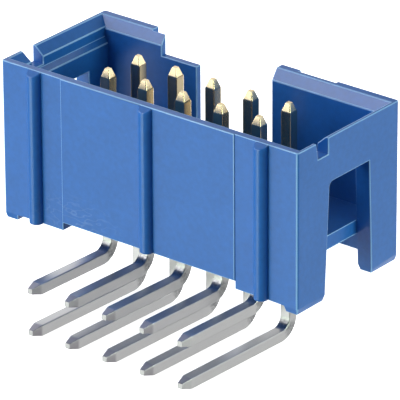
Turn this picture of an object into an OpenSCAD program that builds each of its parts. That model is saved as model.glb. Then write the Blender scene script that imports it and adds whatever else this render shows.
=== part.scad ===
// Right-angle box header: a keyed, moulded shroud around two rows of bent square contacts.
// Lengths are in millimetres. X runs along the rows, -Y faces the board, +Z is the mating side.
// The origin is the middle of the solder tail pattern, on the plane of the board.

/* [Contact grid] */
// Contacts in each of the two rows
contacts_per_row = 5; // [2:1:12]
// Distance between neighbouring contacts of a row
pitch = 2.54; // [2.3:0.01:3]
// Distance between the two rows, and between their two rows of tails
row_pitch = 2.54; // [2.3:0.01:2.8]

/* [Contact wire] */
// Side of the square wire
wire_w = 0.64; // [0.5:0.01:0.72]
// Rounding of the wire's long edges
wire_edge_r = 0.1; // [0.04:0.01:0.16]
// Length of the taper at the mating tip
tip_len = 0.52; // [0.3:0.01:0.9]
// Width of the flat end of the mating tip
tip_flat = 0.27; // [0.15:0.01:0.4]
// Distance of the front row's mating tips below the rim
tip_below_rim = 0.25; // [0.1:0.01:0.8]
// Further distance of the back row's mating tips below the rim
back_tip_drop = 0.12; // [0:0.02:0.4]
// Inside radius of the bend
bend_r = 0.6; // [0.4:0.05:0.8]
// Growth of the wire's section where it was bent
bend_swell = 0.01; // [0.005:0.005:0.03]
// Drop of the upper row of tails below the feet, at the bend's corner
tail_drop = 1.84; // [1.5:0.02:2.5]
// Rise of the tails towards their ends, in degrees past a right-angle bend
tail_rise = 2; // [0:0.1:4]
// Length of tail past the plane of the board
tail_reach = 3.25; // [2.5:0.05:4.5]
// Length of the taper at the tail's end
tail_taper_len = 0.66; // [0.3:0.01:0.9]
// Width of the flat end of the tail
tail_flat = 0.3; // [0.15:0.01:0.4]

/* [Housing] */
// Distance from the end contacts to the outer end faces
end_margin = 4.86; // [4.4:0.01:6]
// Depth from the board side to the back, without the ribs
depth = 8.74; // [8.4:0.02:10]
// Height from the feet to the rim
height = 9.22; // [8.8:0.02:11]
// Thickness of the two end walls
end_wall = 0.93; // [0.8:0.01:1.2]
// Thickness of the front and back walls
side_wall = 0.9; // [0.8:0.01:1.1]
// Depth of the mating cavity below the rim
cavity_depth = 6.25; // [5.8:0.05:6.8]
// Rounding of the upright outer corners
corner_r = 0.14; // [0.05:0.01:0.3]

/* [Floor and feet] */
// Thickness of the thin floor at both ends of the cavity
end_floor = 0.82; // [0.6:0.02:1.2]
// Length of the contact block past the end contacts
block_margin = 0.75; // [0.6:0.05:1.5]
// Height of the contact block's underside above the feet
block_lift = 0.85; // [0.5:0.05:1.3]
// Clearance around each contact in the block
contact_gap = 0.01; // [0.005:0.005:0.03]
// Height of the tapered feet under the end walls
foot_h = 0.36; // [0.2:0.02:0.44]
// Inward taper of each side of a foot
foot_taper = 0.1; // [0.04:0.01:0.2]

/* [Lead-in] */
// Width of the lead-in slope on the front and back walls
side_lead_w = 0.42; // [0.2:0.02:0.6]
// Height of the lead-in slope on the front and back walls
side_lead_h = 0.6; // [0.3:0.05:0.9]
// Width of the lead-in slope on the end walls
end_lead_w = 0.55; // [0.3:0.05:0.6]
// Height of the lead-in slope on the end walls
end_lead_h = 0.5; // [0.3:0.05:0.8]
// Height of the upright band under the end walls' lead-in
end_band_h = 0.58; // [0.3:0.02:0.9]
// Width of the second slope, under that band
end_step_w = 0.2; // [0.1:0.02:0.24]
// Height of the second slope
end_step_h = 0.31; // [0.15:0.02:0.5]

/* [End windows and notches] */
// Distance of the window's head below the rim
window_drop = 2.56; // [2.2:0.02:3.5]
// Distance of the head's front corner from the middle of the rows
window_front = 1.59; // [1.2:0.01:1.7]
// Distance of the head's rear corner from the middle of the rows
window_rear = 1.82; // [1.5:0.01:2.1]
// Widening of the window towards the front at the feet
window_front_flare = 0.36; // [0.1:0.02:0.6]
// Widening of the window towards the rear at the feet
window_rear_flare = 0.28; // [0.1:0.01:0.5]
// Radius of the head's front corner
window_r = 0.3; // [0.1:0.05:0.5]
// Width of the notch in each end wall's rim
notch_w = 1.02; // [0.7:0.02:1.3]
// Depth of the notch below the rim
notch_depth = 0.94; // [0.6:0.02:1.3]
// Lean of the notch's front side towards its bottom
notch_lean = 0.14; // [0.02:0.02:0.3]
// Distance of the notch's middle in front of the middle of the rows
notch_front = 2.23; // [1.9:0.01:2.5]

/* [Keyed back wall] */
// Width of the key slot
key_w = 5.1; // [4.5:0.05:6]
// Shift of the key slot towards -X
key_shift = 0.33; // [0:0.01:0.6]
// Depth of the key slot below the rim
key_depth = 5.2; // [4.4:0.1:5.8]
// Thickness of the thinned wall beside the key slot
skin_t = 0.39; // [0.3:0.01:0.6]
// Length of the thinned wall
skin_len = 3.3; // [2.8:0.05:4]
// Length of the thinned wall's lowered part, next to the slot
shelf_len = 2.4; // [1.5:0.05:2.6]
// Drop of the lowered part below the rim
shelf_drop = 1.2; // [0.8:0.05:2]
// Distance of the shallow relief from the slot's other side
relief_start = 1.28; // [0.8:0.02:1.6]
// Length of the shallow relief
relief_len = 2.45; // [1.5:0.05:3]
// Depth of the shallow relief in the outer face
relief_depth = 0.2; // [0.1:0.02:0.4]

/* [Board side] */
// Radius of the half-round stand-off ribs
rib_r = 0.4; // [0.25:0.05:0.6]
// Distance of the outer ribs from the end faces
rib_inset = 2.32; // [1.5:0.02:3.2]
// Distance of the ribs' tops below the rim, at the wall
rib_drop = 0.04; // [0.02:0.01:0.5]
// Fall of the ribs' tops from the wall to the crest
rib_fall = 0.2; // [0.02:0.01:0.3]
// Projection of the middle panel past the outer panels
panel_step = 0.07; // [0.02:0.01:0.1]

/* [Hidden] */
$fn = 48;
// Overshoot of cutting shapes past the faces they cut
past = 1;

length = (contacts_per_row - 1) * pitch + 2 * end_margin;
half_len = length / 2;
half_depth = depth / 2;
inner_x = half_len - end_wall;
inner_y = half_depth - side_wall;
block_x = (contacts_per_row - 1) * pitch / 2 + block_margin;
floor_z = height - cavity_depth;
front_tip_z = height - tip_below_rim;
head_z = height - window_drop;
plating_z = (block_lift + floor_z) / 2;
bend_mid_r = bend_r + wire_w / 2;
bend_turn = 90 + tail_rise;
bend_run = bend_mid_r * tan(bend_turn / 2);
// Overlap of neighbouring runs of one contact's wire
wire_lap = wire_w / 12;
board_y = -half_depth - rib_r;
tail_end_y = board_y - tail_reach;
tail_mid_z = -tail_drop - row_pitch / 2 - board_y * tan(tail_rise);
key_left = -key_w / 2 - key_shift;
key_right = key_w / 2 - key_shift;
recess_z = height - key_depth;

HOUSING_BLUE = "#4679BC";
GOLD_PLATING = "#D8C489";
TIN_PLATING = "#B4B8C0";

function contact_x(i) = (i - (contacts_per_row + 1) / 2) * pitch;

// Place of the outer panels on the board side (side -1) or of the back face (side 1)
function face_y(side) = side < 0 ? panel_step - half_depth : half_depth;

// Place of the window's front (side -1) or rear (side 1) jamb at a height above the feet
function jamb_y(side, z) = side < 0
    ? -window_front - window_front_flare * (head_z - z) / head_z
    : window_rear + window_rear_flare * (head_z - z) / head_z;

// A closed outline from its right half
function mirrored(half) = concat(half, [for (i = [len(half) - 1 : -1 : 0]) [-half[i].x, half[i].y]]);

// Moves the housing's own frame, with its feet at zero height, to the board's frame
module on_board() {
    translate([0, -board_y, -tail_mid_z])
        children();
}

module rounded_rectangle(w, d, r) {
    square([w, d - 2 * r], center = true);
    square([w - 2 * r, d], center = true);
    for (x = [-1, 1], y = [-1, 1])
        translate([x * (w / 2 - r), y * (d / 2 - r)])
            circle(r);
}

// An outline drawn in the XZ plane, extruded along Y
module along_y(y0, y1) {
    translate([0, y1, 0])
        rotate([90, 0, 0])
            linear_extrude(y1 - y0)
                children();
}

// An outline drawn in the YZ plane, extruded along X
module along_x(x0, x1) {
    translate([x0, 0, 0])
        rotate([90, 0, 90])
            linear_extrude(x1 - x0)
                children();
}

module box(x0, x1, y0, y1, z0, z1) {
    translate([x0, y0, z0])
        cube([x1 - x0, y1 - y0, z1 - z0]);
}

module wire_section(grow = 0) {
    rounded_rectangle(wire_w + 2 * grow, wire_w + 2 * grow, wire_edge_r + grow);
}

// Straight wire along +Z with its far end swaged to a blunt four-sided point
module pointed_wire(wire_len, taper_len, flat) {
    slope = (wire_w - flat) / 2 / taper_len;
    foot_x = flat / 2 + slope * (wire_len + past);
    taper = [[-foot_x, -past], [foot_x, -past], [flat / 2, wire_len], [-flat / 2, wire_len]];
    intersection() {
        linear_extrude(wire_len)
            wire_section();
        along_y(-foot_x, foot_x)
            polygon(taper);
        along_x(-foot_x, foot_x)
            polygon(taper);
    }
}

// One contact: gold-plated mating end, then the tinned end that bends to the board.
// Neighbouring runs of the wire overlap a little, and the bend has a fuller section.
module contact(x, y, corner_z, tip_z) {
    turn_y = y - bend_mid_r;
    turn_z = corner_z + bend_run;
    tail_len = (turn_y - tail_end_y) / cos(tail_rise) - bend_mid_r * tan(tail_rise);
    color(GOLD_PLATING)
        translate([x, y, plating_z - wire_lap])
            pointed_wire(tip_z - plating_z + wire_lap, tip_len, tip_flat);
    color(TIN_PLATING) {
        translate([x, y, turn_z - wire_lap])
            linear_extrude(plating_z - turn_z + wire_lap)
                wire_section();
        translate([x, turn_y, turn_z]) {
            rotate([-90, 0, 90])
                rotate_extrude(angle = bend_turn)
                    translate([bend_mid_r, 0])
                        wire_section(bend_swell);
            rotate([-tail_rise, 0, 0])
                translate([0, wire_lap, -bend_mid_r])
                    rotate([90, 0, 0])
                        pointed_wire(tail_len + wire_lap, tail_taper_len, tail_flat);
        }
    }
}

module front_contact(i) {
    on_board()
        contact(contact_x(i), -row_pitch / 2, -tail_drop, front_tip_z);
}

module back_contact(i) {
    on_board()
        contact(contact_x(i), row_pitch / 2, -tail_drop - row_pitch, front_tip_z - back_tip_drop);
}

// The space for the mating socket, narrowed by the lead-ins of all four walls
module mating_cavity() {
    band_x = inner_x + end_step_w;
    rim_x = band_x + end_lead_w;
    band_z = height - end_lead_h;
    step_z = band_z - end_band_h;
    rim_y = inner_y + side_lead_w;
    intersection() {
        along_y(-half_depth, half_depth)
            polygon(mirrored([
                [inner_x, floor_z],
                [inner_x, step_z - end_step_h],
                [band_x, step_z],
                [band_x, band_z],
                [rim_x, height],
                [rim_x, height + past]
            ]));
        along_x(-half_len, half_len)
            polygon(mirrored([
                [inner_y, floor_z],
                [inner_y, height - side_lead_h],
                [rim_y, height],
                [rim_y, height + past]
            ]));
    }
}

// The hollows left under the thin floor at both ends, and the lift of the middle's underside
module underside() {
    for (side = [0, 1])
        mirror([side, 0, 0])
            box(block_x, inner_x, -inner_y, inner_y, 0, floor_z - end_floor);
    box(-block_x, block_x, board_y - past, half_depth + past, 0, block_lift);
}

// The four tapered feet that end the legs beside the windows
module feet() {
    leg_x = [[half_len, foot_h], [inner_x, foot_h],
             [inner_x + foot_taper, 0], [half_len - foot_taper, 0]];
    intersection() {
        along_y(-half_depth, half_depth)
            for (side = [0, 1])
                mirror([side, 0])
                    polygon(leg_x);
        along_x(-half_len, half_len)
            for (side = [-1, 1])
                polygon([[face_y(side), foot_h], [jamb_y(side, foot_h), foot_h],
                         [jamb_y(side, foot_h) + side * foot_taper, 0],
                         [face_y(side) - side * foot_taper, 0]]);
        linear_extrude(foot_h)
            plan_outline();
    }
}

// A window outline, open at the feet, with one rounded corner at its head
module window_outline() {
    lean = window_front_flare / head_z;
    lean_len = sqrt(1 + lean * lean);
    round_y = jamb_y(-1, head_z) - lean * window_r + lean_len * window_r;
    round_z = head_z - window_r;
    polygon([
        [round_y, head_z],
        [round_y - window_r / lean_len, round_z + window_r * lean / lean_len],
        [jamb_y(-1, -past), -past],
        [jamb_y(1, -past), -past],
        [jamb_y(1, head_z), head_z]
    ]);
    translate([round_y, round_z])
        circle(window_r);
}

// A notch outline, open at the rim, with a leaning front side
module notch_outline() {
    front_y = -notch_front - notch_w / 2;
    rear_y = -notch_front + notch_w / 2;
    polygon([
        [rear_y, height - notch_depth],
        [rear_y, height + past],
        [front_y - past * notch_lean / notch_depth, height + past],
        [front_y + notch_lean, height - notch_depth]
    ]);
}

// Openings of both end walls: a window between the legs and a notch in the rim
module end_openings() {
    for (side = [0, 1])
        mirror([side, 0, 0])
            along_x(inner_x, half_len + past) {
                window_outline();
                notch_outline();
            }
}

// Cuts in the back wall: the key slot, the thinned wall beside it and a shallow relief
module back_wall_cuts() {
    top_z = height + past;
    back_y = half_depth + past;
    skin_left = key_left - skin_len;
    relief_x = key_right + relief_start;
    box(key_left, key_right, 0, back_y, recess_z, top_z);
    box(key_left - shelf_len, key_left, 0, back_y, height - shelf_drop, top_z);
    box(skin_left, key_left, inner_y + skin_t, back_y, recess_z, top_z);
    box(relief_x, relief_x + relief_len, half_depth - relief_depth, back_y, recess_z, top_z);
}

// Half-round stand-offs on the board side, their tops falling a little towards the crest
module ribs() {
    rib_top = height - rib_drop;
    rib_x = half_len - rib_inset;
    for (x = [-rib_x, 0, rib_x])
        intersection() {
            translate([x, -half_depth, foot_h])
                cylinder(r = rib_r, h = height - foot_h);
            along_x(x - 2 * rib_r, x + 2 * rib_r)
                polygon([
                    [0, 0],
                    [0, rib_top],
                    [-half_depth, rib_top],
                    [board_y - rib_r, rib_top - 2 * rib_fall],
                    [board_y - rib_r, 0]
                ]);
        }
}

// Outline of the housing in plan at its outer panels
module plan_outline() {
    translate([0, panel_step / 2])
        rounded_rectangle(length, depth - panel_step, corner_r);
}

// The outer block above the feet, its middle panel standing a little further out on the board side
module shell() {
    translate([0, 0, foot_h])
        linear_extrude(height - foot_h)
            plan_outline();
    box(-block_x, block_x, -half_depth, 0, foot_h, height);
}

module contact_holes() {
    for (i = [1 : contacts_per_row], side = [-1, 1])
        translate([contact_x(i), side * row_pitch / 2, 0])
            linear_extrude(height)
                wire_section(contact_gap);
}

module housing() {
    color(HOUSING_BLUE)
        on_board()
            union() {
                difference() {
                    union() {
                        shell();
                        ribs();
                    }
                    mating_cavity();
                    underside();
                    end_openings();
                    back_wall_cuts();
                    contact_holes();
                }
                feet();
            }
}

housing();
for (i = [1 : contacts_per_row])
    front_contact(i);
for (i = [1 : contacts_per_row])
    back_contact(i);
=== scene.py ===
import math

import bmesh
import bpy
from mathutils import Matrix, Vector


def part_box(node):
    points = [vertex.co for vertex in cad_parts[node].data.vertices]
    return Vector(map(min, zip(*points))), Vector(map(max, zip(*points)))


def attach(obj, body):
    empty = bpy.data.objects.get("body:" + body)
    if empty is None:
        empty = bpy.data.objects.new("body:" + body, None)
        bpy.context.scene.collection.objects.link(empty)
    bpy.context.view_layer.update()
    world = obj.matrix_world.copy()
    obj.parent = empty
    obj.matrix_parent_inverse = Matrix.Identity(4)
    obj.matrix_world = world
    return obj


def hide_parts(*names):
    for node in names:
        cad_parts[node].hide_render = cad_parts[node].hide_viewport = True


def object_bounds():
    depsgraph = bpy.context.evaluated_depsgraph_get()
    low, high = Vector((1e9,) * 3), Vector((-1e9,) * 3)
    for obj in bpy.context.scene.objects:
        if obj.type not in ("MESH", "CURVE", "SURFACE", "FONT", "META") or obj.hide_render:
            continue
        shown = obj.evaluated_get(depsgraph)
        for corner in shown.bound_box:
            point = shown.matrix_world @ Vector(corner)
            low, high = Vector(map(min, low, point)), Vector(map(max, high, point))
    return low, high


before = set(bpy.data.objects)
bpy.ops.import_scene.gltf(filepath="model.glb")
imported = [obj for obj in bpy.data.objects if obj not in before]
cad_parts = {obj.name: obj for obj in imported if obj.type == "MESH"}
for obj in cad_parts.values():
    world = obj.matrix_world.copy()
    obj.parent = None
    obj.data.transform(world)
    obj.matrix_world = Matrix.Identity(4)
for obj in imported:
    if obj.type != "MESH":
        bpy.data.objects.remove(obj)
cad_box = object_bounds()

# Housing: the keyed, windowed shroud with three stand-off ribs. One injection moulding in blue
# glass-filled polyester, from a polished steel tool, so its faces are satin and its edges hairline-round.
# The contacts are pressed through its floor afterwards.

# One millimetre in the frame's metres
MM = 0.001

# Sizes in millimetres
EDGE_R = 0.05
STEP_EDGE_R = 0.045
EDGE_SEGMENTS = 3
CORNER_R = 0.14
RIB_R = 0.4
PANEL_HALF = 5.83
PANEL_STEP = 0.07
SHORT_STEP = 0.1
BAND_INSET = 0.73
LEDGE_DROP = 1.08
LEDGE_LINE = 0.05
WIRE_W = 0.64
BEND_SWELL = 0.01
HOLE_REACH = 0.52
MERGE_GAP = 0.0005
SLACK = 0.01

# Turns between two faces, and how far a face looks along an axis
FLAT_TURN = math.radians(0.4)
ROUND_FACE_TURN = math.radians(13.5)
CLEAR_EDGE_TURN = math.radians(28)
MITRE_TURN = math.radians(40)
CORNER_FACING = 0.2
END_FACING = 0.99

# Colours, pattern sizes in millimetres and shine of the polyester
PIGMENT_DEEP = "#1B58A1"
PIGMENT_FULL = "#246DC7"
# Painted highlight: the light blue laid on the marked edges, and how much of it
EDGE_HIGHLIGHT_BLUE = "#93C2F6"
EDGE_HIGHLIGHT_SHARE = 0.8
CLOUD_SIZE = 2.6
FIBRE_SIZE = 0.3
FIBRE_SHARE = 0.6
GRAIN_SIZE = 0.12
GRAIN_DEPTH = 0.004
GRAIN_STRENGTH = 0.25
SATIN_LEAST = 0.265
SATIN_MOST = 0.355
POLYESTER_IOR = 1.55
SCUFF_BLUE = "#9CB8DC"
SCUFF_AT = (-5.0, 0.4, 4.3)
SCUFF_STRETCH = (0.4, 1.0, 1.0)
SCUFF_SIZE = 0.42
SCUFF_LEVELS = 8.0
SCUFF_LINE_SHARE = 0.25
SCUFF_CORE = 0.4
SCUFF_REACH = 1.5
SCUFF_STRENGTH = 0.33

# Material slots: the finish, and an empty one that marks the roundings until their colour is set
FINISH_SLOT = 0
ROUNDING_SLOT = 1


def linear(hex_colour):
    """An sRGB hex colour as linear RGBA."""
    channels = [int(hex_colour[i:i + 2], 16) / 255 for i in (1, 3, 5)]
    return [c / 12.92 if c <= 0.04045 else ((c + 0.055) / 1.055) ** 2.4 for c in channels] + [1.0]


def add(tree, kind, inputs=None, **settings):
    """Adds a node. Inputs hold a value for a socket, or the socket that feeds it."""
    node = tree.nodes.new(kind)
    for name, value in settings.items():
        setattr(node, name, value)
    for name, value in (inputs or {}).items():
        if isinstance(value, bpy.types.NodeSocket):
            tree.links.new(value, node.inputs[name])
        else:
            node.inputs[name].default_value = value
    return node


def per_metre(size_mm):
    """A pattern's scale from the real size of one of its features."""
    return 1 / (size_mm * MM)


def new_material(name):
    """A material with an output and a plain shader, and the coordinates of the piece that wears it."""
    material = bpy.data.materials.new(name)
    material.use_nodes = True
    tree = material.node_tree
    tree.nodes.clear()
    shader = add(tree, "ShaderNodeBsdfPrincipled")
    add(tree, "ShaderNodeOutputMaterial", {"Surface": shader.outputs["BSDF"]})
    place = add(tree, "ShaderNodeTexCoord").outputs["Object"]
    return material, tree, shader, place


def box_in_mm(node):
    """A node's lowest and highest corners at rest, in millimetres."""
    return [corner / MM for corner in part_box(node)]


def settle(piece):
    """Turns a piece with modifiers into a plain mesh without them."""
    depsgraph = bpy.context.evaluated_depsgraph_get()
    mesh = bpy.data.meshes.new_from_object(piece.evaluated_get(depsgraph), depsgraph=depsgraph)
    piece.modifiers.clear()
    piece.data = mesh


def shade(piece):
    """Smooth shading that keeps flat faces flat and breaks at the edges marked as creases."""
    piece.data.polygons.foreach_set("use_smooth", [True] * len(piece.data.polygons))
    weighted = piece.modifiers.new("weighted", "WEIGHTED_NORMAL")
    weighted.keep_sharp = True
    settle(piece)


def hand_over(piece, node):
    """Brings a piece made in millimetres to metres and puts it in its node's place."""
    piece.data.transform(Matrix.Scale(MM, 4))
    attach(piece, "root")
    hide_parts(node)


def polyester():
    """Satin blue polyester: a faintly mottled pigment, a fine tool grain, a painted highlight along the
    edges and a few scuffs.
    """
    material, tree, shader, place = new_material("glass_filled_polyester_blue")
    clouds = add(tree, "ShaderNodeTexNoise",
                 {"Vector": place, "Scale": per_metre(CLOUD_SIZE), "Detail": 3.0, "Roughness": 0.55})
    # Glass fibres under the skin are hundredths of a millimetre thick: drawn coarser, so that they show.
    fibres = add(tree, "ShaderNodeTexNoise",
                 {"Vector": place, "Scale": per_metre(FIBRE_SIZE), "Detail": 1.0})
    mottle = add(tree, "ShaderNodeMix",
                 {0: FIBRE_SHARE, 2: clouds.outputs["Fac"], 3: fibres.outputs["Fac"]})
    pigment = add(tree, "ShaderNodeMix",
                  {0: mottle.outputs[0], 6: linear(PIGMENT_DEEP), 7: linear(PIGMENT_FULL)},
                  data_type="RGBA")
    # Painted highlight: faces marked "edge" are tinted towards a light blue for the light that rounded edges
    # catch, over a slight pale flash.
    edge = add(tree, "ShaderNodeAttribute", attribute_name="edge")
    highlight_share = add(tree, "ShaderNodeMath", {0: edge.outputs["Fac"], 1: EDGE_HIGHLIGHT_SHARE}, operation="MULTIPLY")
    highlighted = add(tree, "ShaderNodeMix",
                {0: highlight_share.outputs[0], 6: pigment.outputs[2], 7: linear(EDGE_HIGHLIGHT_BLUE)},
                data_type="RGBA")
    # Handling scuffs low on the board side: hairlines along the contours of a slow noise.
    from_scuff = add(tree, "ShaderNodeMapping",
                     {"Vector": place, "Location": [-v * MM for v in SCUFF_AT]}, vector_type="POINT")
    along_wall = add(tree, "ShaderNodeVectorMath", {0: from_scuff.outputs[0], 1: SCUFF_STRETCH},
                     operation="MULTIPLY")
    wander = add(tree, "ShaderNodeTexNoise",
                 {"Vector": along_wall.outputs[0], "Scale": per_metre(SCUFF_SIZE), "Detail": 1.0})
    levels = add(tree, "ShaderNodeMath", {0: wander.outputs["Fac"], 1: SCUFF_LEVELS}, operation="MULTIPLY")
    between = add(tree, "ShaderNodeMath", {0: levels.outputs[0], 1: 1.0}, operation="PINGPONG")
    hairline = add(tree, "ShaderNodeMapRange",
                   {"Value": between.outputs[0], "From Max": SCUFF_LINE_SHARE, "To Min": 1.0, "To Max": 0.0})
    reach = add(tree, "ShaderNodeVectorMath", {0: along_wall.outputs[0]}, operation="LENGTH")
    area = add(tree, "ShaderNodeMapRange",
               {"Value": reach.outputs["Value"], "From Min": SCUFF_CORE * MM, "From Max": SCUFF_REACH * MM,
                "To Min": SCUFF_STRENGTH, "To Max": 0.0})
    scuff = add(tree, "ShaderNodeMath", {0: hairline.outputs[0], 1: area.outputs[0]},
                operation="MULTIPLY")
    broken_scuff = add(tree, "ShaderNodeMath", {0: scuff.outputs[0], 1: clouds.outputs["Fac"]},
                       operation="MULTIPLY")
    scuffed = add(tree, "ShaderNodeMix",
                  {0: broken_scuff.outputs[0], 6: highlighted.outputs[2], 7: linear(SCUFF_BLUE)},
                  data_type="RGBA")
    satin = add(tree, "ShaderNodeMapRange",
                {"Value": clouds.outputs["Fac"], "To Min": SATIN_LEAST, "To Max": SATIN_MOST})
    # The real grain is a few hundredths of a millimetre wide: drawn coarser, so that it shows.
    grain = add(tree, "ShaderNodeTexNoise",
                {"Vector": place, "Scale": per_metre(GRAIN_SIZE), "Detail": 2.0, "Roughness": 0.6})
    bump = add(tree, "ShaderNodeBump",
               {"Height": grain.outputs["Fac"], "Strength": GRAIN_STRENGTH, "Distance": GRAIN_DEPTH * MM})
    tree.links.new(scuffed.outputs[2], shader.inputs["Base Color"])
    tree.links.new(satin.outputs[0], shader.inputs["Roughness"])
    tree.links.new(bump.outputs[0], shader.inputs["Normal"])
    shader.inputs["IOR"].default_value = POLYESTER_IOR
    return material


# Where the wires pass through the floor: their holes stay sharp.
wire_axes = {}
for name in sorted(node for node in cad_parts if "contact" in node):
    low, high = box_in_mm(name)
    wire_axes[name] = ((low.x + high.x) / 2, high.y - WIRE_W / 2 - BEND_SWELL)

housing_low, housing_high = box_in_mm("housing")
band_x = housing_high.x - BAND_INSET
ledge_z = housing_high.z - LEDGE_DROP

shell = bmesh.new()
shell.from_mesh(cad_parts["housing"].data)
bmesh.ops.scale(shell, vec=(1 / MM,) * 3, verts=shell.verts)
bmesh.ops.remove_doubles(shell, verts=shell.verts, dist=MERGE_GAP)
bmesh.ops.dissolve_limit(shell, angle_limit=FLAT_TURN, verts=shell.verts, edges=shell.edges)

# A painted highlight line follows the ledge inside each end wall: a narrow strip of the band above it.
for side in (-1, 1):
    band = [face for face in shell.faces
            if abs(face.normal.x + side) < FLAT_TURN
            and abs(face.calc_center_median().x - side * band_x) < SLACK]
    bmesh.ops.bisect_plane(shell, geom=band + [edge for face in band for edge in face.edges],
                           plane_co=(0, 0, ledge_z + LEDGE_LINE), plane_no=(0, 0, 1))

# Clear outer edges are rounded. The others stay as they are, smooth where they are facets of a round face.
rounding = shell.edges.layers.float.new("bevel_weight_edge")
for edge in shell.edges:
    middle = (edge.verts[0].co + edge.verts[1].co) / 2
    turn = edge.calc_face_angle_signed(0)
    at_hole = any(math.dist(middle.xy, axis) < HOLE_REACH for axis in wire_axes.values())
    on_step = abs(abs(middle.x) - PANEL_HALF) < SLACK and middle.y < RIB_R + PANEL_STEP + SLACK
    on_short_step = on_step and edge.calc_length() < SHORT_STEP
    if turn < CLEAR_EDGE_TURN or at_hole or on_short_step:
        edge.smooth = abs(turn) < ROUND_FACE_TURN
    else:
        edge[rounding] = STEP_EDGE_R / EDGE_R if on_step else 1.0
housing_mesh = bpy.data.meshes.new("housing_shell")
shell.to_mesh(housing_mesh)
shell.free()

housing = bpy.data.objects.new("housing_shell", housing_mesh)
bpy.context.scene.collection.objects.link(housing)
housing_mesh.materials.append(polyester())
housing_mesh.materials.append(None)
rounded = housing.modifiers.new("rounded", "BEVEL")
rounded.limit_method = "WEIGHT"
rounded.width = EDGE_R
rounded.segments = EDGE_SEGMENTS
rounded.material = ROUNDING_SLOT
rounded.use_clamp_overlap = False
settle(housing)

# The roundings, the halves of the upright corners that turn towards the long sides, and the ledge strips get
# a painted highlight, a light tint over a slight pale flash on the moulded edges. The ribs get none.
shell = bmesh.new()
shell.from_mesh(housing.data)
highlight_layer = shell.faces.layers.float.new("edge")
for face in shell.faces:
    middle = face.calc_center_median()
    from_corner = max(min(middle.x - housing_low.x, housing_high.x - middle.x),
                      min(middle.y - RIB_R - PANEL_STEP, housing_high.y - middle.y))
    at_corner = from_corner < CORNER_R and abs(face.normal.y) > abs(face.normal.x) > CORNER_FACING
    at_ledge = (0 < middle.z - ledge_z < LEDGE_LINE and abs(face.normal.x) > END_FACING
                and abs(abs(middle.x) - band_x) < SLACK)
    is_rounding = face.material_index == ROUNDING_SLOT
    off_ribs = middle.y > RIB_R - SLACK
    # Painted highlight mask: 1 where the light edge tint goes, 0 elsewhere.
    face[highlight_layer] = float(off_ribs and (is_rounding or at_corner or at_ledge))
    face.material_index = FINISH_SLOT
for edge in shell.edges:
    if edge.calc_face_angle(0) > MITRE_TURN:
        edge.smooth = False
shell.to_mesh(housing.data)
shell.free()
housing.data.materials.pop(index=ROUNDING_SLOT)
shade(housing)
hand_over(housing, "housing")

# Contacts: ten square brass wires with swaged points, bent once to the board. The mating ends are
# flashed with pale gold and the solder tails with bright tin; the two platings meet inside the floor.

# Sizes in millimetres, steps and turns
WIRE_EDGE_R = 0.06
WIRE_EDGE_STEPS = 4
TIP_LEN = 0.52
TIP_FLAT = 0.27
POINT_STEPS = 6
POINT_TURN = math.radians(30)
BEND_R = 0.6
BEND_STEPS = 28
TAIL_RISE = math.radians(2)
TAIL_TAPER_LEN = 0.66
TAIL_FLAT = 0.3
PLATING_ABOVE_FEET = 1.91

# Colours, pattern sizes in millimetres and shine of the platings
DRAWN_DEPTH = 0.002
DRAWN_STRENGTH = 0.05
GOLD_DEEP = "#E9D4A8"
GOLD_PALE = "#F1E0BA"
GOLD_LINE_SIZE = 0.09
GOLD_LINE_STRETCH = (1, 1, 0.1)
GOLD_ROUGHNESS = (0.21, 0.24)
TIN_DEEP = "#CBCBCD"
TIN_PALE = "#D3D3D3"
TIN_LINE_SIZE = 0.1
TIN_LINE_STRETCH = (1, 0.12, 1)
TIN_ROUGHNESS = (0.27, 0.31)
RUBBED_TIN = "#5A5C62"
RUB_SIZE = 0.16
RUB_START = 0.2
RUB_FULL = 0.75
SWAGED_TIN = "#B6B2B9"
SWAGED_ROUGHNESS = 0.5


def drawn_plate(name, deep, pale, line_size, line_stretch, roughness):
    """Bright plating on a drawn wire: a mirror in two close tones, faintly lined along the wire."""
    material, tree, shader, place = new_material(name)
    # The die's lines are thousandths of a millimetre apart: drawn coarser, so that they show.
    along = add(tree, "ShaderNodeMapping", {"Vector": place, "Scale": line_stretch})
    lines = add(tree, "ShaderNodeTexNoise",
                {"Vector": along.outputs[0], "Scale": per_metre(line_size), "Detail": 2.0})
    colour = add(tree, "ShaderNodeMix",
                 {0: lines.outputs["Fac"], 6: linear(deep), 7: linear(pale)},
                 data_type="RGBA")
    polish = add(tree, "ShaderNodeMapRange",
                 {"Value": lines.outputs["Fac"], "To Min": roughness[0], "To Max": roughness[1]})
    bump = add(tree, "ShaderNodeBump",
               {"Height": lines.outputs["Fac"], "Strength": DRAWN_STRENGTH, "Distance": DRAWN_DEPTH * MM})
    tree.links.new(colour.outputs[2], shader.inputs["Base Color"])
    tree.links.new(polish.outputs[0], shader.inputs["Roughness"])
    tree.links.new(bump.outputs[0], shader.inputs["Normal"])
    shader.inputs["Metallic"].default_value = 1.0
    return material, tree, shader, place, colour.outputs[2], polish.outputs[0]


def gold_flash():
    """Pale gold flash over nickel: a warm mirror."""
    material, *_ = drawn_plate("gold_flashed_brass", GOLD_DEEP, GOLD_PALE, GOLD_LINE_SIZE,
                               GOLD_LINE_STRETCH, GOLD_ROUGHNESS)
    return material


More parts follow.
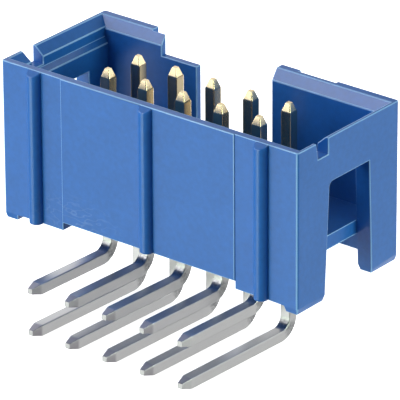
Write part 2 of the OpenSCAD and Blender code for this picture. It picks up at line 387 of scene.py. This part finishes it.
def bright_tin():
    """Bright tin plate: a cool grey mirror, rubbed dark in the bend and dulled on the swaged points."""
    material, tree, shader, place, colour, polish = drawn_plate(
        "bright_tin_plate", TIN_DEEP, TIN_PALE, TIN_LINE_SIZE, TIN_LINE_STRETCH, TIN_ROUGHNESS)
    bend = add(tree, "ShaderNodeAttribute", attribute_name="bend")
    rub = add(tree, "ShaderNodeTexNoise",
              {"Vector": place, "Scale": per_metre(RUB_SIZE), "Detail": 3.0, "Roughness": 0.7})
    rub_share = add(tree, "ShaderNodeMath", {0: bend.outputs["Fac"], 1: rub.outputs["Fac"]},
                    operation="MULTIPLY")
    rubbed = add(tree, "ShaderNodeMapRange",
                 {"Value": rub_share.outputs[0], "From Min": RUB_START, "From Max": RUB_FULL})
    worn = add(tree, "ShaderNodeMix",
               {0: rubbed.outputs[0], 6: colour, 7: linear(RUBBED_TIN)},
               data_type="RGBA")
    swaged = add(tree, "ShaderNodeAttribute", attribute_name="swaged")
    pressed = add(tree, "ShaderNodeMix",
                  {0: swaged.outputs["Fac"], 6: worn.outputs[2], 7: linear(SWAGED_TIN)},
                  data_type="RGBA")
    dulled = add(tree, "ShaderNodeMix", {0: swaged.outputs["Fac"], 2: polish, 3: SWAGED_ROUGHNESS})
    tree.links.new(pressed.outputs[2], shader.inputs["Base Color"])
    tree.links.new(dulled.outputs[0], shader.inputs["Roughness"])
    return material


def bent_wire_tree():
    """Sweeps the rounded square section along a contact's route and plates its two ends."""
    tree = bpy.data.node_groups.new("bent_square_wire", "GeometryNodeTree")
    sizes_by_kind = {
        "NodeSocketVector": ("Tip", "Tip Shoulder", "Plating Edge", "Bend Start", "Bend Middle",
                             "Bend End", "Tail Shoulder", "Tail End"),
        "NodeSocketFloat": ("Wire Width", "Edge Radius", "Tip Flat", "Tail Flat", "Plating Height"),
        "NodeSocketMaterial": ("Gold", "Tin"),
    }
    sockets = {}
    for kind, names in sizes_by_kind.items():
        for name in names:
            socket = tree.interface.new_socket(name, in_out="INPUT", socket_type=kind)
            sockets[name] = socket.identifier
    tree.interface.new_socket("Geometry", in_out="OUTPUT", socket_type="NodeSocketGeometry")
    given = add(tree, "NodeGroupInput").outputs
    way = add(tree, "GeometryNodeSplineParameter").outputs["Factor"]

    def straight(start, end):
        """A straight stretch at full girth."""
        stretch = add(tree, "GeometryNodeCurvePrimitiveLine", {"Start": given[start], "End": given[end]})
        return add(tree, "GeometryNodeStoreNamedAttribute",
                   {"Geometry": stretch.outputs[0], "Name": "girth", "Value": 1.0})

    def point(shoulder, end, flat):
        """A swaged point: the section shrinks evenly from its shoulder to its flat end."""
        steps = add(tree, "GeometryNodeResampleCurve",
                    {"Curve": straight(shoulder, end).outputs[0], "Count": POINT_STEPS})
        share = add(tree, "ShaderNodeMath", {0: given[flat], 1: given["Wire Width"]}, operation="DIVIDE")
        shrink = add(tree, "ShaderNodeMapRange",
                     {"Value": way, "To Min": 1.0, "To Max": share.outputs[0]})
        shrunk = add(tree, "GeometryNodeStoreNamedAttribute",
                     {"Geometry": steps.outputs[0], "Name": "girth", "Value": shrink.outputs[0]})
        pressed = add(tree, "ShaderNodeMapRange", {"Value": way, "From Max": 1 / (POINT_STEPS - 1)})
        return add(tree, "GeometryNodeStoreNamedAttribute",
                   {"Geometry": shrunk.outputs[0], "Name": "swaged", "Value": pressed.outputs[0]})

    arc = add(tree, "GeometryNodeCurveArc",
              {"Resolution": BEND_STEPS, "Start": given["Bend Start"],
               "Middle": given["Bend Middle"], "End": given["Bend End"]}, mode="POINTS")
    full_arc = add(tree, "GeometryNodeStoreNamedAttribute",
                   {"Geometry": arc.outputs[0], "Name": "girth", "Value": 1.0})
    half_wave = add(tree, "ShaderNodeMath", {0: way, 1: math.pi}, operation="MULTIPLY")
    strain = add(tree, "ShaderNodeMath", {0: half_wave.outputs[0]}, operation="SINE")
    bend = add(tree, "GeometryNodeStoreNamedAttribute",
               {"Geometry": full_arc.outputs[0], "Name": "bend", "Value": strain.outputs[0]})
    route = [point("Tip Shoulder", "Tip", "Tip Flat"), straight("Tip Shoulder", "Plating Edge"),
             straight("Plating Edge", "Bend Start"), bend, straight("Bend End", "Tail Shoulder"),
             point("Tail Shoulder", "Tail End", "Tail Flat")]
    joined = add(tree, "GeometryNodeJoinGeometry")
    for stretch in route:
        edges = add(tree, "GeometryNodeCurveToMesh", {"Curve": stretch.outputs[0]})
        tree.links.new(edges.outputs[0], joined.inputs[0])
    merged = add(tree, "GeometryNodeMergeByDistance",
                 {"Geometry": joined.outputs[0], "Distance": MERGE_GAP})
    path = add(tree, "GeometryNodeMeshToCurve", {"Mesh": merged.outputs[0]})
    square = add(tree, "GeometryNodeCurvePrimitiveQuadrilateral",
                 {"Width": given["Wire Width"], "Height": given["Wire Width"]})
    section = add(tree, "GeometryNodeFilletCurve",
                  {"Curve": square.outputs[0], "Count": WIRE_EDGE_STEPS, "Radius": given["Edge Radius"]},
                  mode="POLY")
    girth = add(tree, "GeometryNodeInputNamedAttribute", {"Name": "girth"}, data_type="FLOAT")
    wire = add(tree, "GeometryNodeCurveToMesh",
               {"Curve": path.outputs[0], "Profile Curve": section.outputs[0],
                "Scale": girth.outputs[0], "Fill Caps": True})
    solid = add(tree, "GeometryNodeRealizeInstances", {"Geometry": wire.outputs[0]})
    tinned = add(tree, "GeometryNodeSetMaterial",
                 {"Geometry": solid.outputs[0], "Material": given["Tin"]})
    height = add(tree, "ShaderNodeSeparateXYZ",
                 {"Vector": add(tree, "GeometryNodeInputPosition").outputs[0]})
    above = add(tree, "FunctionNodeCompare",
                {"A": height.outputs["Z"], "B": given["Plating Height"]},
                data_type="FLOAT", operation="GREATER_THAN")
    plated = add(tree, "GeometryNodeSetMaterial",
                 {"Geometry": tinned.outputs[0], "Selection": above.outputs[0],
                  "Material": given["Gold"]})
    add(tree, "NodeGroupOutput", {"Geometry": plated.outputs[0]})
    return tree, sockets


wire_tree, wire_sockets = bent_wire_tree()
gold = gold_flash()
tin = bright_tin()
bend_mid_r = BEND_R + WIRE_W / 2
half_turn = (math.pi / 2 + TAIL_RISE) / 2
tail_way = Vector((0, -math.cos(TAIL_RISE), math.sin(TAIL_RISE)))
plating_z = housing_low.z + PLATING_ABOVE_FEET
for name, (x, row_y) in wire_axes.items():
    low, high = box_in_mm(name)
    pivot = Vector((x, row_y - bend_mid_r, low.z + BEND_R + WIRE_W + BEND_SWELL))
    bend_end = pivot - bend_mid_r * Vector((0, math.sin(TAIL_RISE), math.cos(TAIL_RISE)))
    tail_end_y = low.y + TAIL_FLAT / 2 * math.sin(TAIL_RISE)
    tail_end = bend_end + tail_way * ((bend_end.y - tail_end_y) / math.cos(TAIL_RISE))
    sizes = {
        "Tip": (x, row_y, high.z),
        "Tip Shoulder": (x, row_y, high.z - TIP_LEN),
        "Plating Edge": (x, row_y, plating_z),
        "Bend Start": (x, row_y, pivot.z),
        "Bend Middle": pivot + bend_mid_r * Vector((0, math.cos(half_turn), -math.sin(half_turn))),
        "Bend End": bend_end,
        "Tail Shoulder": tail_end - tail_way * TAIL_TAPER_LEN,
        "Tail End": tail_end,
        "Wire Width": WIRE_W,
        "Edge Radius": WIRE_EDGE_R,
        "Tip Flat": TIP_FLAT,
        "Tail Flat": TAIL_FLAT,
        "Plating Height": plating_z,
        "Gold": gold,
        "Tin": tin,
    }
    wire = bpy.data.objects.new(name + "_wire", bpy.data.meshes.new(name + "_wire"))
    bpy.context.scene.collection.objects.link(wire)
    sweep = wire.modifiers.new("sweep", "NODES")
    sweep.node_group = wire_tree
    for size_name, value in sizes.items():
        sweep[wire_sockets[size_name]] = tuple(value) if isinstance(value, Vector) else value
    settle(wire)
    wire.data.set_sharp_from_angle(angle=POINT_TURN)
    shade(wire)
    hand_over(wire, name)

# Studio: a white sheet that only the camera sees, burnt out, and round soft panels close to the part.
# Two bright panels light the board side and the right end; the weaker ones around them give the metal
# its tones and lift the inside and the under side.

# Camera, sheet and panels, with their sizes and places in millimetres
CAMERA_AZIMUTH = math.radians(38.669)
CAMERA_ELEVATION = math.radians(24.804)
CAMERA_ROLL = math.radians(-0.335)
CAMERA_LENS = 468
CAMERA_SENSOR = 36
CAMERA_DISTANCE = 275.92
FRAME_SHIFT_X = -0.0785
FRAME_SHIFT_Y = 1.5864
AIM_ABOVE_FEET = 4.0
NEAREST_SEEN = 10
SHEET_SIZE = 4000
PANEL_DISTANCE = 400
PANEL_SIZE = 214.4
TIP_PANEL_SIZE = 150

# Colours and brightness
PLAIN_WHITE = "#FFFFFF"
KEY_TINT = "#EDFFE7"
PAPER_WHITE = "#F4F4F4"
PAPER_ROUGHNESS = 0.9
WORLD_GREY = 0.15

row_ys = [row_y for x, row_y in wire_axes.values()]
aim = Vector((0, (min(row_ys) + max(row_ys)) / 2, housing_low.z + AIM_ABOVE_FEET))

level = Vector((math.cos(CAMERA_AZIMUTH), math.sin(CAMERA_AZIMUTH), 0))
look = Vector((-math.sin(CAMERA_AZIMUTH) * math.cos(CAMERA_ELEVATION),
               math.cos(CAMERA_AZIMUTH) * math.cos(CAMERA_ELEVATION), -math.sin(CAMERA_ELEVATION)))
rise = level.cross(look)
right = math.cos(CAMERA_ROLL) * level + math.sin(CAMERA_ROLL) * rise
up = math.cos(CAMERA_ROLL) * rise - math.sin(CAMERA_ROLL) * level
eye = aim - FRAME_SHIFT_X * right - FRAME_SHIFT_Y * up - CAMERA_DISTANCE * look
camera = bpy.data.objects.new("camera", bpy.data.cameras.new("camera"))
camera.data.lens = CAMERA_LENS
camera.data.sensor_width = CAMERA_SENSOR
camera.data.clip_start = NEAREST_SEEN * MM
camera.matrix_world = Matrix.Translation(eye * MM) @ Matrix((right, up, -look)).transposed().to_4x4()
bpy.context.scene.collection.objects.link(camera)
bpy.context.scene.camera = camera


def panel(name, direction, radiance, size=PANEL_SIZE, tint=PLAIN_WHITE):
    """A round soft light that faces the part."""
    light = bpy.data.lights.new(name, "AREA")
    light.shape = "DISK"
    light.size = size * MM
    light.color = linear(tint)[:3]
    face_area = math.pi * (light.size / 2) ** 2
    light.energy = radiance * math.pi * face_area
    lamp = bpy.data.objects.new(name, light)
    away = Vector(direction).normalized()
    lamp.matrix_world = (Matrix.Translation((aim + away * PANEL_DISTANCE) * MM)
                         @ away.to_track_quat("Z", "Y").to_matrix().to_4x4())
    lamp.visible_camera = False
    bpy.context.scene.collection.objects.link(lamp)


panel("front_panel", (-0.24, -0.96, -0.12), 8.3, tint=KEY_TINT)
panel("left_panel", (-0.89, -0.33, 0.25), 5.0)
panel("left_low_panel", (-0.90, 0.14, -0.42), 0.6)
panel("left_upper_panel", (-0.43, -0.61, 0.67), 4.1)
panel("lead_in_panel", (-0.57, -0.64, 0.515), 1.5)
panel("front_low_panel", (-0.56, -0.69, -0.47), 1.06)
panel("right_panel", (0.965, 0.22, 0.14), 9.7, tint=KEY_TINT)
panel("right_back_panel", (0.66, 0.73, 0.20), 1.4)
panel("right_low_panel", (0.56, 0.69, -0.47), 0.45)
panel("back_panel", (0.25, 0.88, 0.40), 0.8)
panel("tail_end_panel", (0.84, 0.35, -0.42), 0.7)
panel("top_left_panel", (-0.57, 0.30, 0.76), 1.2)
panel("back_low_panel", (0.05, 0.88, -0.47), 4.0)
panel("back_left_panel", (-0.73, 0.61, 0.31), 1.1)
panel("tip_panel", (-0.56, -0.80, 0.20), 1.8, TIP_PANEL_SIZE)
panel("overhead_panel", (-0.10, 0.10, 0.99), 0.5)
panel("back_left_low_panel", (-0.61, 0.61, -0.50), 0.9)
panel("under_back_panel", (0.35, 0.35, -0.87), 1.1)
panel("under_right_panel", (0.35, -0.35, -0.87), 1.1)
panel("under_left_panel", (-0.35, -0.35, -0.87), 1.0)

sheet_mesh = bpy.data.meshes.new("white_sheet")
half = SHEET_SIZE * MM / 2
sheet_z = cad_box[0][2]
sheet_mesh.from_pydata([(-half, -half, sheet_z), (half, -half, sheet_z), (half, half, sheet_z),
                        (-half, half, sheet_z)], [], [(0, 1, 2, 3)])
# White paper under full light: it leaves nothing to see but white.
paper, _, paper_shader, _ = new_material("white_paper")
paper_shader.inputs["Base Color"].default_value = linear(PAPER_WHITE)
paper_shader.inputs["Roughness"].default_value = PAPER_ROUGHNESS
paper_shader.inputs["Emission Color"].default_value = linear(PLAIN_WHITE)
paper_shader.inputs["Emission Strength"].default_value = 1.0
sheet_mesh.materials.append(paper)
sheet = bpy.data.objects.new("white_sheet", sheet_mesh)
sheet.visible_diffuse = False
sheet.visible_glossy = False
sheet.visible_shadow = False
bpy.context.scene.collection.objects.link(sheet)

world = bpy.data.worlds.new("studio")
world.use_nodes = True
world.node_tree.nodes["Background"].inputs["Color"].default_value = (WORLD_GREY,) * 3 + (1,)
bpy.context.scene.world = world
bpy.context.scene.view_settings.view_transform = "Standard"

bpy.context.view_layer.update()
